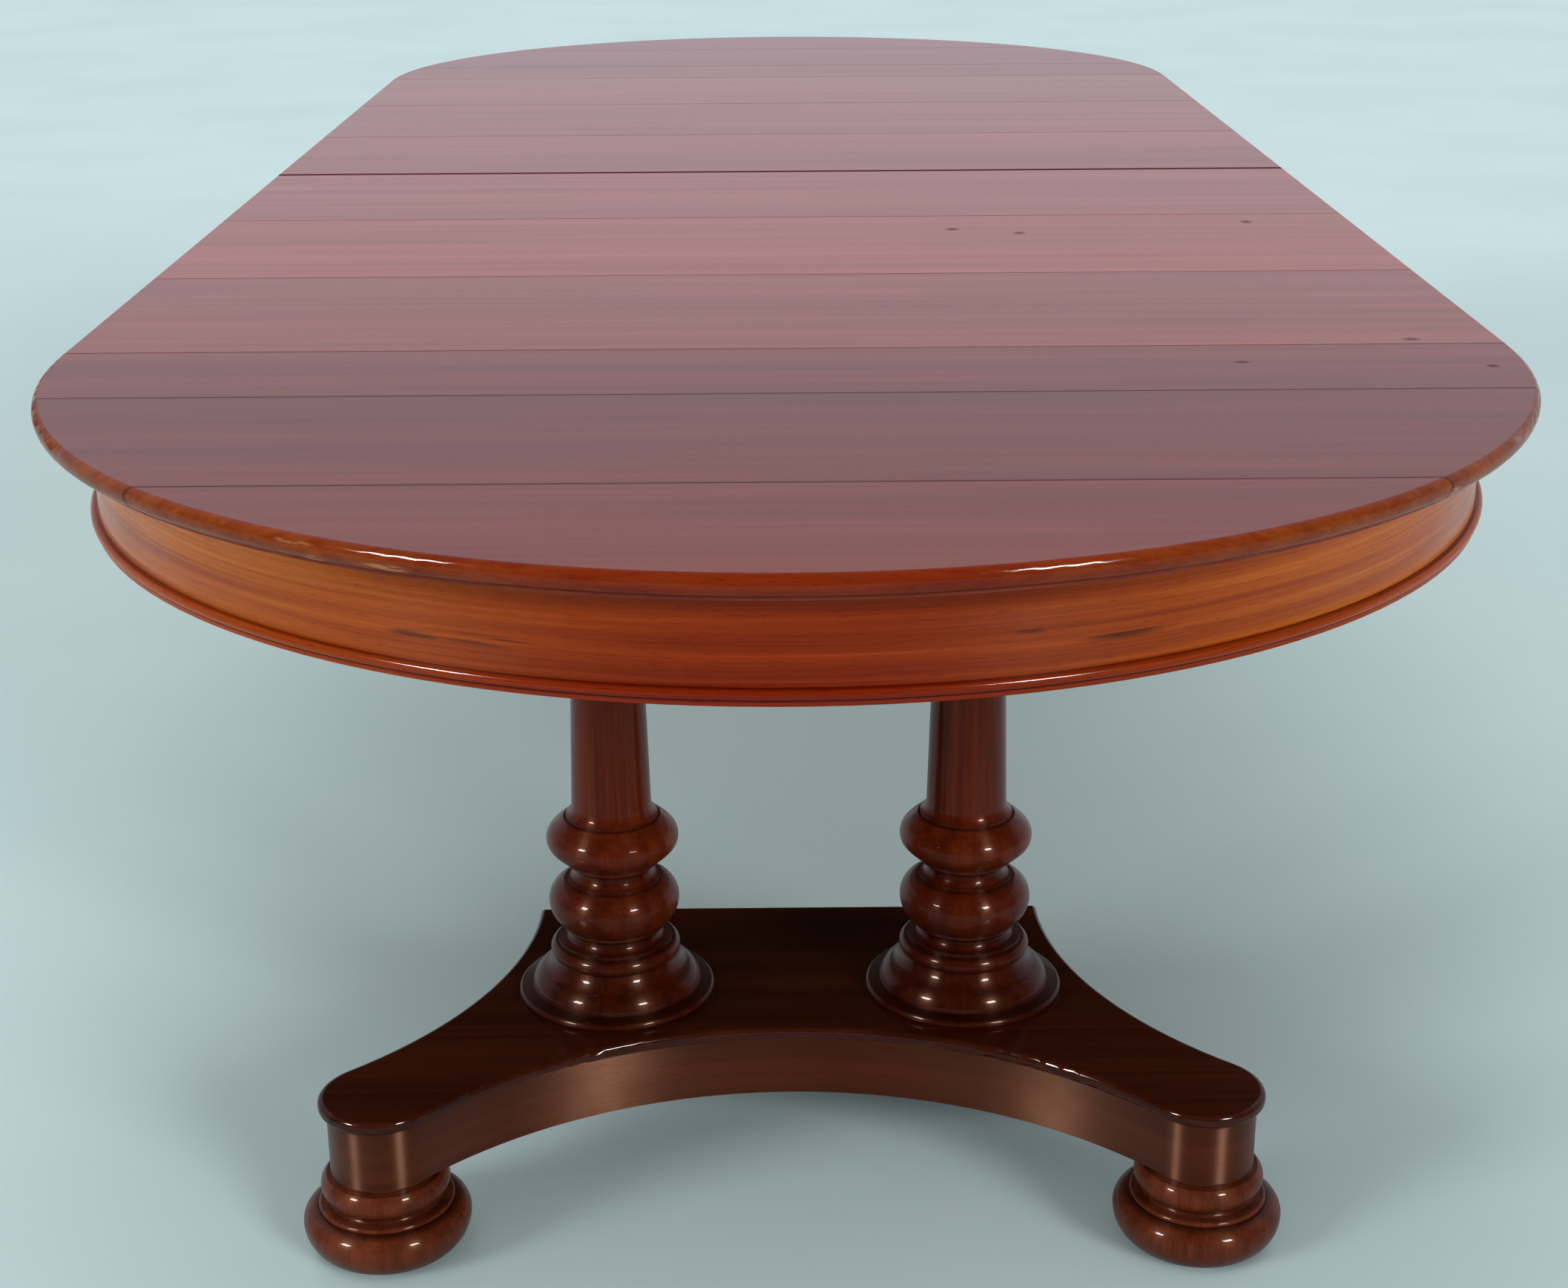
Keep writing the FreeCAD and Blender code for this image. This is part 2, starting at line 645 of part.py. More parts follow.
def column(half, side_name):
    """A turned column: base bead, bell, collar, bulb and large ring with hollow necks between them, and a
    plain tapered shaft, tenoned at each end."""
    body = new_body(f"{half}_column_{side_name}")
    base_x = s.base_radius - s.base_round
    collar_x = s.collar_radius - s.collar_round
    bell_foot = s.base_height + s.bell_shelf_rise
    bell_waist = bell_foot + s.bell_swell_height
    bell_top = bell_waist + s.bell_hollow_height
    collar_top = bell_top + s.collar_height
    lower_neck = collar_top + s.collar_fillet_height
    lower_neck_top = lower_neck + s.lower_neck_height
    bulb_foot = lower_neck_top + s.bulb_fillet_height
    bulb_middle = bulb_foot + s.bulb_rise
    bulb_head = bulb_middle + s.bulb_fall
    upper_neck = bulb_head + s.neck_fillet_height
    upper_neck_top = upper_neck + s.upper_neck_height
    ring_foot = upper_neck_top + s.ring_fillet_height
    crown_foot = ring_foot + s.ring_flank_height
    crown_top = crown_foot + s.ring_crown_height
    ring_head = crown_top + s.ring_flank_height
    fillet_top = ring_head + s.shaft_fillet_height
    shaft_foot = fillet_top + s.shaft_hollow_height
    shoulder = bearer_bottom - platform_top
    tenon = s.column_tenon_radius
    bell_swell = swell_radius(slant(s.bell_foot_radius - s.bell_waist_radius, s.bell_swell_height),
                              s.bell_swell)
    bell_hollow = swell_radius(slant(s.bell_waist_radius - collar_x, s.bell_hollow_height), s.bell_hollow)
    flank = swell_radius(slant(s.ring_crown_foot_radius - s.ring_foot_radius, s.ring_flank_height),
                         s.ring_flank_swell)
    shaft_hollow = swell_radius(slant(s.shaft_fillet_radius - s.shaft_foot_radius, s.shaft_hollow_height),
                                s.shaft_hollow)
    profile = new_sketch(body, "XZ_Plane")
    outline(profile, [
        (ZERO, -s.column_foot_tenon),
        (tenon, -s.column_foot_tenon),
        (tenon, ZERO),
        (base_x, ZERO),
        (base_x, s.base_height, swell_radius(s.base_height, s.base_round)),
        (s.bell_foot_radius, bell_foot),
        (s.bell_waist_radius, bell_waist, bell_swell),
        (collar_x, bell_top, -bell_hollow),
        (collar_x, collar_top, swell_radius(s.collar_height, s.collar_round)),
        (s.collar_fillet_radius, collar_top),
        (s.collar_fillet_radius, lower_neck),
        (s.lower_neck_radius, lower_neck),
        (s.lower_neck_radius, lower_neck_top, -swell_radius(s.lower_neck_height, s.lower_neck_depth)),
        (s.bulb_fillet_radius, lower_neck_top),
        (s.bulb_fillet_radius, bulb_foot),
        (s.bulb_foot_radius, bulb_foot),
        (s.bulb_radius, bulb_middle, sweep_radius(s.bulb_radius - s.bulb_foot_radius, s.bulb_rise)),
        (s.bulb_head_radius, bulb_head, sweep_radius(s.bulb_radius - s.bulb_head_radius, s.bulb_fall)),
        (s.neck_fillet_radius, bulb_head),
        (s.neck_fillet_radius, upper_neck),
        (s.upper_neck_radius, upper_neck),
        (s.upper_neck_radius, upper_neck_top, -swell_radius(s.upper_neck_height, s.upper_neck_depth)),
        (s.ring_fillet_radius, upper_neck_top),
        (s.ring_fillet_radius, ring_foot),
        (s.ring_foot_radius, ring_foot),
        (s.ring_crown_foot_radius, crown_foot, flank),
        (s.ring_crown_foot_radius, crown_top,
         swell_radius(s.ring_crown_height, s.ring_radius - s.ring_crown_foot_radius)),
        (s.ring_foot_radius, ring_head, flank),
        (s.shaft_fillet_radius, ring_head),
        (s.shaft_fillet_radius, fillet_top),
        (s.shaft_foot_radius, shaft_foot, -shaft_hollow),
        (s.shaft_head_radius, shoulder),
        (tenon, shoulder),
        (tenon, shoulder + s.column_head_tenon),
        (ZERO, shoulder + s.column_head_tenon),
    ])
    turn(body, profile)
    place_in_half(body, half)
    body.setExpression("Placement.Base.x", (SIDES[side_name] * s.column_x).text)
    body.setExpression("Placement.Base.y", ((half_span + s.column_y) * HALVES[half]).text)
    body.setExpression("Placement.Base.z", platform_top.text)


def arm_outline(sketch, inset):
    """Half of a four-armed outline: round arm ends on the diagonals, joined by concave sides that run into
    them without a corner, cut off straight at the split line."""
    waist, end_radius = s.waist - inset, s.arm_end_radius - inset
    arm = s.arm_offset
    shoulder = waist - end_radius
    side_centre = (arm * arm * 2 - shoulder * shoulder) / ((arm - shoulder) * 2)
    share = end_radius / (side_centre - shoulder)
    hollow = side_centre - waist
    along, across = arm + (side_centre - arm) * share, arm - arm * share
    tip = arm + end_radius * math.sqrt(0.5)
    outline(sketch, [
        (waist, ZERO),
        (along, across, -hollow),
        (tip, tip, end_radius),
        (across, along, end_radius),
        (-across, along, -hollow),
        (-tip, tip, end_radius),
        (-along, across, end_radius),
        (-waist, ZERO, -hollow),
    ])


def platform(half):
    """The half platform: a thick core, and a thinner board over it that overhangs as a rounded lip."""
    column_places = [(side * s.column_x, s.column_y) for side in SIDES.values()]
    core = new_body(f"{half}_platform_core")
    plan = new_sketch(core, "XY_Plane", foot_height)
    arm_outline(plan, s.lip_overhang)
    pad(core, plan, s.core_height)
    mortises = new_sketch(core, "XY_Plane", core_top)
    circles(mortises, column_places, s.column_tenon_radius + s.glue)
    cut(core, mortises, s.column_foot_tenon - s.lip_height + s.spare_depth)
    foot_holes = new_sketch(core, "XY_Plane", foot_height)
    circles(foot_holes, [(side * s.arm_offset, s.arm_offset) for side in SIDES.values()],
            s.foot_tenon_radius + s.glue)
    cut(core, foot_holes, s.foot_tenon + s.spare_depth, backwards=True)
    dowel_holes = new_sketch(core, "XZ_Plane")
    dowel_places = [side * s.dowel_x for side in SIDES.values()]
    if half == "near":
        circles(dowel_holes, [(x, dowel_level) for x in dowel_places], s.dowel_radius + s.slip)
        cut(core, dowel_holes, s.dowel_reach + s.spare_depth)
    else:
        circles(dowel_holes, [(x, dowel_level) for x in dowel_places], s.dowel_radius + s.glue)
        cut(core, dowel_holes, s.dowel_glued)
        pin_row("far_platform_dowels", dowel_level, dowel_places, s.dowel_radius, s.dowel_glued,
                s.dowel_reach, s.dowel_tip, half)
    place_in_half(core, half)

    lip = new_body(f"{half}_platform_top")
    plan = new_sketch(lip, "XY_Plane", core_top)
    arm_outline(plan, ZERO)
    board = pad(lip, plan, s.lip_height)
    dress(lip, "Fillet", board, "Radius", s.lip_round,
          lambda edge: is_arc(edge) and (is_level(edge, core_top) or is_level(edge, platform_top)))
    mortises = new_sketch(lip, "XY_Plane", platform_top)
    circles(mortises, column_places, s.column_tenon_radius + s.glue)
    cut(lip, mortises, s.lip_height)
    place_in_half(lip, half)


def foot(half, side_name):
    """A turned bun foot: flattened bun, thin step and ring, with a tenon up into the platform."""
    body = new_body(f"{half}_foot_{side_name}")
    bun_top = s.bun_rise + s.bun_fall
    step_top = bun_top + s.step_height
    neck_top = step_top + s.foot_neck_height
    ring_top = neck_top + s.foot_ring_height
    ring_swell = swell_radius(s.foot_ring_height, s.foot_ring_radius - s.foot_ring_foot_radius)
    step_swell = swell_radius(s.step_height, s.step_radius - s.step_foot_radius)
    profile = new_sketch(body, "XZ_Plane")
    outline(profile, [
        (ZERO, ZERO),
        (s.foot_rest_radius, ZERO),
        (s.bun_radius, s.bun_rise, sweep_radius(s.bun_radius - s.foot_rest_radius, s.bun_rise)),
        (s.bun_head_radius, bun_top, sweep_radius(s.bun_radius - s.bun_head_radius, s.bun_fall)),
        (s.step_foot_radius, bun_top),
        (s.step_foot_radius, step_top, step_swell),
        (s.foot_neck_radius, step_top),
        (s.foot_neck_radius, neck_top, -swell_radius(s.foot_neck_height, s.foot_neck_depth)),
        (s.foot_ring_foot_radius, neck_top),
        (s.foot_ring_foot_radius, ring_top, ring_swell),
        (s.foot_cap_radius, ring_top),
        (s.foot_cap_radius, foot_height),
        (s.foot_tenon_radius, foot_height),
        (s.foot_tenon_radius, foot_height + s.foot_tenon),
        (ZERO, foot_height + s.foot_tenon),
    ])
    turn(body, profile)
    place_in_half(body, half)
    body.setExpression("Placement.Base.x", (SIDES[side_name] * s.arm_offset).text)
    body.setExpression("Placement.Base.y", ((half_span + s.arm_offset) * HALVES[half]).text)


for half in HALVES:
    half_round_top(half)
    apron(half)
    column_head(half)
    platform(half)
    for side_name, side in SIDES.items():
        column(half, side_name)
        foot(half, side_name)
        rail(f"{half}_rail_{side_name}", side, fixed_rail(half), half)
pin_row("far_top_pins", pin_level, pin_places, s.pin_radius, s.pin_glued, s.pin_reach, s.pin_tip, "far")
for index in range(1, LEAF_COUNT + 1):
    leaf(index)
for index in range(1, RAIL_COUNT - 1):
    for side_name, side in SIDES.items():
        rail(f"slide_rail_{index}_{side_name}", side, index)

doc.recompute()
for item in doc.Objects:
    if {"Invalid", "Error"} & set(item.State):
        raise ValueError(f"{item.Label} failed: {item.State}")
for node in nodes:
    if node.Shape.isNull() or not node.Shape.isValid():
        raise ValueError(f"{node.Label} has no valid shape")
for node in nodes:
    node.Shape.exportStep(f"parts/{node.Label}.step")
print(f"{len(nodes)} pieces written")
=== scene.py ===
import math

import bmesh
import bpy
from mathutils import Matrix, Vector


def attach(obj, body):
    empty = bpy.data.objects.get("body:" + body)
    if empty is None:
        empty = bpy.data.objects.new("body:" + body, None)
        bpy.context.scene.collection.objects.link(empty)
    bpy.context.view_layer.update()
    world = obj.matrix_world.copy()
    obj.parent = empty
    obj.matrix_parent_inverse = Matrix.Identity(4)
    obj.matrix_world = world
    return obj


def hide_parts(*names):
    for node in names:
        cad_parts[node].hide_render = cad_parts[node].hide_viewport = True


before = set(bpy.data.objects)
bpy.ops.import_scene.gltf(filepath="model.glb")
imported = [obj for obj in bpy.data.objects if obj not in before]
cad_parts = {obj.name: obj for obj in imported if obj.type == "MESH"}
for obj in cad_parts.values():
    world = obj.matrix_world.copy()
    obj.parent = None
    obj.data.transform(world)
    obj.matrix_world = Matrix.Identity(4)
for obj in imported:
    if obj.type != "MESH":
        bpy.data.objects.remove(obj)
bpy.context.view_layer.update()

# Bun feet: four turned mahogany feet, each with a flattened bun, a thin step and a ring.
# They are tenoned up into the arms of the platform. Painted shade darkens their quirks and their bottoms.
HALVES = {"near": -1, "far": 1}
SIDES = {"left": -1, "right": 1}
FOOT_QUIRKS = [(0.0445, 0.0025), (0.052, 0.004), (0.079, 0.003)]
FOOT_TONES = ((0.050, 0.0090, 0.0030), (0.078, 0.0150, 0.0052), (0.110, 0.0240, 0.0090))
# Painted shade darkens the feet near the floor and fades out by the upper of these heights.
FOOT_SHADE_BELOW, FOOT_SHADE_GONE_ABOVE = -0.02, 0.03
PORE_SHADE = (0.35, 0.28, 0.25)
# Colour of the painted shade in the quirks of turned pieces and beads.
QUIRK_SHADE = (0.25, 0.16, 0.12)
# Colour of the painted shade low down on turned pieces.
LOW_SHADE = (0.42, 0.40, 0.42)
WARM_SHINE = (1.0, 0.48, 0.28, 1.0)
SHELLAC_IOR = 1.34
UP_AND_DOWN = 0.25


def put(tree, kind, fills=None, **options):
    """Adds a node, sets its options and fills its inputs with values or with other nodes' outputs."""
    node = tree.nodes.new(kind)
    for option, choice in options.items():
        setattr(node, option, choice)
    for name, fill in (fills or {}).items():
        if isinstance(fill, bpy.types.NodeSocket):
            tree.links.new(fill, node.inputs[name])
        else:
            node.inputs[name].default_value = fill
    return node


def new_finish(name):
    finish = bpy.data.materials.new(name)
    finish.use_nodes = True
    finish.node_tree.nodes.clear()
    return finish, finish.node_tree


def surfaced(tree, fills):
    """Ends a finish with the surface that these inputs describe."""
    surface = put(tree, "ShaderNodeBsdfPrincipled", fills)
    put(tree, "ShaderNodeOutputMaterial", {"Surface": surface.outputs["BSDF"]})


def dress(finish, *nodes):
    for node in nodes:
        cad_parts[node].material_slots[0].material = finish


def on_piece(tree):
    """Places on the piece, as it stands in the table."""
    return put(tree, "ShaderNodeTexCoord").outputs["Object"]


def axis_of(tree, place, axis):
    return put(tree, "ShaderNodeSeparateXYZ", {"Vector": place}).outputs[axis]


def along_z(tree):
    """Places on the piece with the grain upright: first along it, then across it."""
    turn = put(tree, "ShaderNodeMapping", {"Vector": on_piece(tree), "Rotation": (0, math.pi / 2, 0)})
    return turn.outputs["Vector"]


def cloudy(tree, scale, detail):
    """A soft random pattern that changes so many times a metre, the same in every direction."""
    fills = {"Vector": on_piece(tree), "Scale": scale, "Detail": detail}
    return put(tree, "ShaderNodeTexNoise", fills).outputs["Fac"]


def stretched(tree, run, along, across, detail=3.0, start=(0, 0, 0), roughness=0.55):
    """A soft random pattern drawn out along the grain: so many changes a metre along it and across it."""
    drawn = put(tree, "ShaderNodeMapping",
                {"Vector": run, "Location": start, "Scale": (along, across, across)}).outputs["Vector"]
    noise = put(tree, "ShaderNodeTexNoise",
                {"Vector": drawn, "Scale": 1.0, "Detail": detail, "Roughness": roughness})
    return noise.outputs["Fac"]


def math_on(tree, operation, first, second=0.0, third=0.0):
    return put(tree, "ShaderNodeMath", {0: first, 1: second, 2: third}, operation=operation).outputs["Value"]


def some_of(tree, share, amount):
    return math_on(tree, "MULTIPLY", share, amount)


def highest(tree, shares):
    """The largest of several shares at each place."""
    total = shares[0]
    for share in shares[1:]:
        total = math_on(tree, "MAXIMUM", total, share)
    return total


def away_from(tree, value, place):
    return math_on(tree, "ABSOLUTE", math_on(tree, "SUBTRACT", value, place))


def rising(tree, value, low, high, least=0.0, most=1.0):
    """Turns a value into a smooth share that goes from least to most between low and high."""
    fills = {"Value": value, "From Min": low, "From Max": high, "To Min": least, "To Max": most}
    return put(tree, "ShaderNodeMapRange", fills, interpolation_type="SMOOTHSTEP").outputs["Result"]


def mixed(tree, share, first, second, blend_type="MIX"):
    first, second = ((*tone, 1.0) if isinstance(tone, tuple) else tone for tone in (first, second))
    mix = put(tree, "ShaderNodeMix", {0: share, 6: first, 7: second}, data_type="RGBA", blend_type=blend_type)
    return mix.outputs[2]


def tone_ramp(tree, value, stops):
    ramp = put(tree, "ShaderNodeValToRGB", {"Fac": value})
    elements = ramp.color_ramp.elements
    while len(elements) < len(stops):
        elements.new(0.5)
    for element, (position, tone) in zip(elements, stops):
        element.position = position
        element.color = (*tone, 1.0)
    return ramp.outputs["Color"]


def bumped(tree, height, strength, depth, **under):
    """The slope of a relief of this depth, laid over another slope if one is given as Normal."""
    fills = {"Height": height, "Strength": strength, "Distance": depth, **under}
    return put(tree, "ShaderNodeBump", fills).outputs["Normal"]


def at_levels(tree, levels):
    """A share that is 1 at these heights and falls to nothing within each one's reach."""
    height = axis_of(tree, on_piece(tree), "Z")
    return highest(tree, [rising(tree, away_from(tree, height, level), 0.0, reach, 1.0, 0.0)
                          for level, reach in levels])


def mahogany(tree, run, tones, streak, start, wander=0.012):
    """Mahogany's colour and relief: broad bands, long streaks, fine lines and short dark pores."""
    drawn = put(tree, "ShaderNodeMapping", {"Vector": run, "Location": start, "Scale": (1.1, 3.0, 3.0)})
    drift = put(tree, "ShaderNodeTexNoise", {"Vector": drawn.outputs["Vector"], "Scale": 1.0, "Detail": 2.0})
    bent = put(tree, "ShaderNodeVectorMath", {0: drift.outputs["Color"], 1: (0.0, wander, wander), 2: run},
               operation="MULTIPLY_ADD").outputs["Vector"]
    bands = stretched(tree, bent, 0.35, streak / 5, 2.0, start)
    streaks = stretched(tree, bent, 0.9, streak, 5.0, start, 0.62)
    lines = stretched(tree, bent, 3.5, streak * 5, 3.0, start)
    pores = stretched(tree, bent, 70.0, 1100.0, 1.0, start)
    tone = some_of(tree, bands, 0.30)
    tone = math_on(tree, "MULTIPLY_ADD", streaks, 0.46, tone)
    tone = math_on(tree, "MULTIPLY_ADD", lines, 0.24, tone)
    dark, middle, light = tones
    colour = tone_ramp(tree, tone, [(0.40, dark), (0.50, middle), (0.60, light)])
    open_pores = rising(tree, pores, 0.60, 0.72)
    colour = mixed(tree, some_of(tree, open_pores, 0.5), colour, PORE_SHADE, "MULTIPLY")
    relief = math_on(tree, "MULTIPLY_ADD", open_pores, -0.6, lines)
    return colour, relief


def french_polish(tree, colour, relief, gloss, coat, brushed=0.0, shine=0.0):
    """Shellac polished over the wood: a clear coat that has sunk a little into the grain and ripples gently.
    Brushed wood was scraped or turned round its side, so that highlights run up and down it."""
    smears = cloudy(tree, 9.0, 3.0)
    ripple = cloudy(tree, 14.0, 1.0)
    sunk = bumped(tree, relief, 0.06, 0.0001)
    fills = {"Base Color": colour, "Roughness": rising(tree, smears, 0.3, 0.7, 0.30, 0.42),
             "Normal": bumped(tree, relief, 0.22, 0.0004), "Specular IOR Level": shine, "Coat Weight": coat,
             "Coat Roughness": gloss, "Coat IOR": SHELLAC_IOR,
             "Coat Normal": bumped(tree, ripple, 0.12, 0.0005, Normal=sunk)}
    if brushed:
        round_it = put(tree, "ShaderNodeTangent", direction_type="RADIAL", axis="Z").outputs["Tangent"]
        fills.update({"Anisotropic": brushed, "Anisotropic Rotation": UP_AND_DOWN, "Tangent": round_it,
                      "Specular Tint": WARM_SHINE})
    surfaced(tree, fills)


def turned_mahogany(name, tones, quirks, start, shade_below, shade_gone_above):
    """Turned mahogany with painted shade in its quirks and towards its foot, fading out further up."""
    finish, tree = new_finish(name)
    colour, relief = mahogany(tree, along_z(tree), tones, 60.0, start)
    # Painted shade darkens the quirks.
    colour = mixed(tree, some_of(tree, at_levels(tree, quirks), 0.75), colour, QUIRK_SHADE, "MULTIPLY")
    # Painted shade darkens the piece towards its foot.
    height = axis_of(tree, on_piece(tree), "Z")
    shaded_low = rising(tree, height, shade_below, shade_gone_above, 1.0, 0.0)
    colour = mixed(tree, shaded_low, colour, LOW_SHADE, "MULTIPLY")
    french_polish(tree, colour, relief, gloss=0.06, coat=0.32, brushed=0.9, shine=0.14)
    return finish


foot_finish = turned_mahogany("turned_foot_mahogany", FOOT_TONES, FOOT_QUIRKS, (0.0, 3.1, 1.7),
                              FOOT_SHADE_BELOW, FOOT_SHADE_GONE_ABOVE)
dress(foot_finish, *(f"{half}_foot_{side}" for half in HALVES for side in SIDES))

# Platforms: half of a four-armed base under each end, a thick mahogany core with a thinner board on top.
# The board overhangs as a rounded lip, and both are cut straight across at the split line.
PLATFORM_TONES = {"top": ((0.019, 0.0027, 0.0008), (0.029, 0.0047, 0.0014), (0.042, 0.0076, 0.0025)),
                  "core": ((0.026, 0.0030, 0.0008), (0.036, 0.0046, 0.0011), (0.048, 0.0070, 0.0019))}


def along_x(tree):
    """Places on the piece with the grain running across the table."""
    return on_piece(tree)


def along_wall(tree):
    """Places on the upright sides of a piece, with the grain lying level all the way round."""
    parts = put(tree, "ShaderNodeSeparateXYZ", {"Vector": on_piece(tree)}).outputs
    return put(tree, "ShaderNodeCombineXYZ", {"X": parts["X"], "Y": parts["Z"]}).outputs["Vector"]


for half, way in HALVES.items():
    start = (0.0, 2.0 + way, 0.0)
    finish, tree = new_finish(f"{half}_platform_top_mahogany")
    colour, relief = mahogany(tree, along_x(tree), PLATFORM_TONES["top"], 42.0, start)
    french_polish(tree, colour, relief, gloss=0.12, coat=0.8)
    dress(finish, f"{half}_platform_top")
    finish, tree = new_finish(f"{half}_platform_core_mahogany")
    colour, relief = mahogany(tree, along_wall(tree), PLATFORM_TONES["core"], 90.0, start)
    french_polish(tree, colour, relief, gloss=0.08, coat=0.1, brushed=1.0, shine=0.72)
    dress(finish, f"{half}_platform_core")

# Dowels of the platform and of the leaves: plain birch rods, glued into one edge and chamfered at the end.
# They are waxed so that they slide into the sockets of the facing edge.
BIRCH_TONES = ((0.34, 0.19, 0.08), (0.46, 0.29, 0.14), (0.58, 0.40, 0.22))
GRIME_SHADE = (0.55, 0.48, 0.42)
LEAVES = range(1, 7)


def along_y(tree):
    """Places on the piece with the grain running the length of the table."""
    turn = put(tree, "ShaderNodeMapping", {"Vector": on_piece(tree), "Rotation": (0, 0, -math.pi / 2)})
    return turn.outputs["Vector"]


def bare_wood(name, run, tones, streak, start=(0, 0, 0), roughness=0.62):
    """Wood left from the plane or the saw: the same grain without any polish over it."""
    finish, tree = new_finish(name)
    colour, relief = mahogany(tree, run(tree), tones, streak, start)
    grime = cloudy(tree, 7.0, 4.0)
    colour = mixed(tree, rising(tree, grime, 0.45, 0.75, 0.0, 0.6), colour, GRIME_SHADE, "MULTIPLY")
    surfaced(tree, {"Base Color": colour,
                    "Roughness": rising(tree, grime, 0.3, 0.7, roughness - 0.08, roughness + 0.1),
                    "Normal": bumped(tree, relief, 0.4, 0.0006), "Specular IOR Level": 0.35})
    return finish


birch = bare_wood("waxed_birch", along_y, BIRCH_TONES, 240.0)
dress(birch, "far_platform_dowels", "far_top_pins", *(f"leaf_{leaf}_pins" for leaf in LEAVES))

# Columns: two to each half, turned in one piece from mahogany with the grain upright, tenoned at both ends.
# From the platform up: base, bell, collar, bulb, large ring and a plain tapered shaft.
# Heights of the column's quirks, which are darkened with painted shade.
COLUMN_QUIRKS = [(0.160, 0.003), (0.191, 0.0025), (0.2065, 0.003), (0.2155, 0.007), (0.2245, 0.002),
                 (0.2695, 0.0025), (0.279, 0.008), (0.289, 0.0025), (0.3335, 0.003)]
COLUMN_TONES = ((0.042, 0.0044, 0.0011), (0.068, 0.0080, 0.0019), (0.100, 0.0145, 0.0036))
# Painted shade darkens the column from its base and fades out up to the shaft.
COLUMN_SHADE_BELOW, COLUMN_SHADE_GONE_ABOVE = 0.165, 0.330
column_finish = turned_mahogany("turned_column_mahogany", COLUMN_TONES, COLUMN_QUIRKS, (0.0, 0.4, 5.2),
                                COLUMN_SHADE_BELOW, COLUMN_SHADE_GONE_ABOVE)
dress(column_finish, *(f"{half}_column_{side}" for half in HALVES for side in SIDES))

# Bearers and head blocks: a stained hardwood plank on each pair of columns, and a thick block between it and
# the top. The columns tenon into the plank, which is screwed up into the fixed rails and the block.
STAINED_TONES = ((0.045, 0.016, 0.008), (0.085, 0.033, 0.016), (0.135, 0.060, 0.030))
bearer_finish = bare_wood("stained_bearer_wood", along_x, STAINED_TONES, 70.0, (0.0, 1.3, 0.0), 0.5)
dress(bearer_finish, *(f"{half}_{piece}" for half in HALVES for piece in ("bearer", "head_block")))

# Slide rails: five to each side, planed from plain hardwood and dovetailed side by side.
# The outer one is screwed under one end and the inner one under the other; the three between travel.
SLIDE_TONES = ((0.150, 0.072, 0.030), (0.225, 0.120, 0.055), (0.310, 0.185, 0.095))
slide_finish = bare_wood("planed_slide_wood", along_y, SLIDE_TONES, 95.0, (0.0, 0.7, 2.9), 0.55)
dress(slide_finish, *(f"{half}_rail_{side}" for half in HALVES for side in SIDES),
      *(f"slide_rail_{index}_{side}" for index in (1, 2, 3) for side in SIDES))

# Screws: slotted steel screws that hold the rails to the top and the bearers to rails and blocks.
# Each has a low domed head, sawn across for the driver. They are old and dull, and brown with rust.
APRON_CENTRE_Y = 1.0668
FIXED_RAIL_X = {"near": 0.320, "far": 0.2144}
BEARER_SEAT_Z, RAIL_SEAT_Z = 0.6246, 0.6846
BEARER_SCREW_ROWS = (0.137, 0.197)
RAIL_SCREW_ROWS = (0.056, 0.351, 0.480)
HEAD_BLOCK_SCREW_X = 0.080
FIRST_SLOT_TURN, NEXT_SLOT_TURN = 0.4, 0.9
RUST, WORN_STEEL = (0.16, 0.10, 0.07), (0.36, 0.33, 0.30)

steel, tree = new_finish("dull_steel")
tarnish = cloudy(tree, 260.0, 4.0)
surfaced(tree, {"Base Color": tone_ramp(tree, tarnish, [(0.35, RUST), (0.6, WORN_STEEL)]), "Metallic": 0.9,
                "Roughness": rising(tree, tarnish, 0.3, 0.7, 0.38, 0.6),
                "Normal": bumped(tree, tarnish, 0.3, 0.0003)})
dress(steel, *(f"{half}_{piece}" for half in HALVES for piece in ("bearer_screws", "rail_screws")))


def pick(chosen):
    """In edit mode, selects only the faces whose middle passes the test."""
    shape = bmesh.from_edit_mesh(bpy.context.object.data)
    bpy.ops.mesh.select_all(action="DESELECT")
    for face in shape.faces:
        face.select_set(chosen(face.calc_center_median()))
    bmesh.update_edit_mesh(bpy.context.object.data)


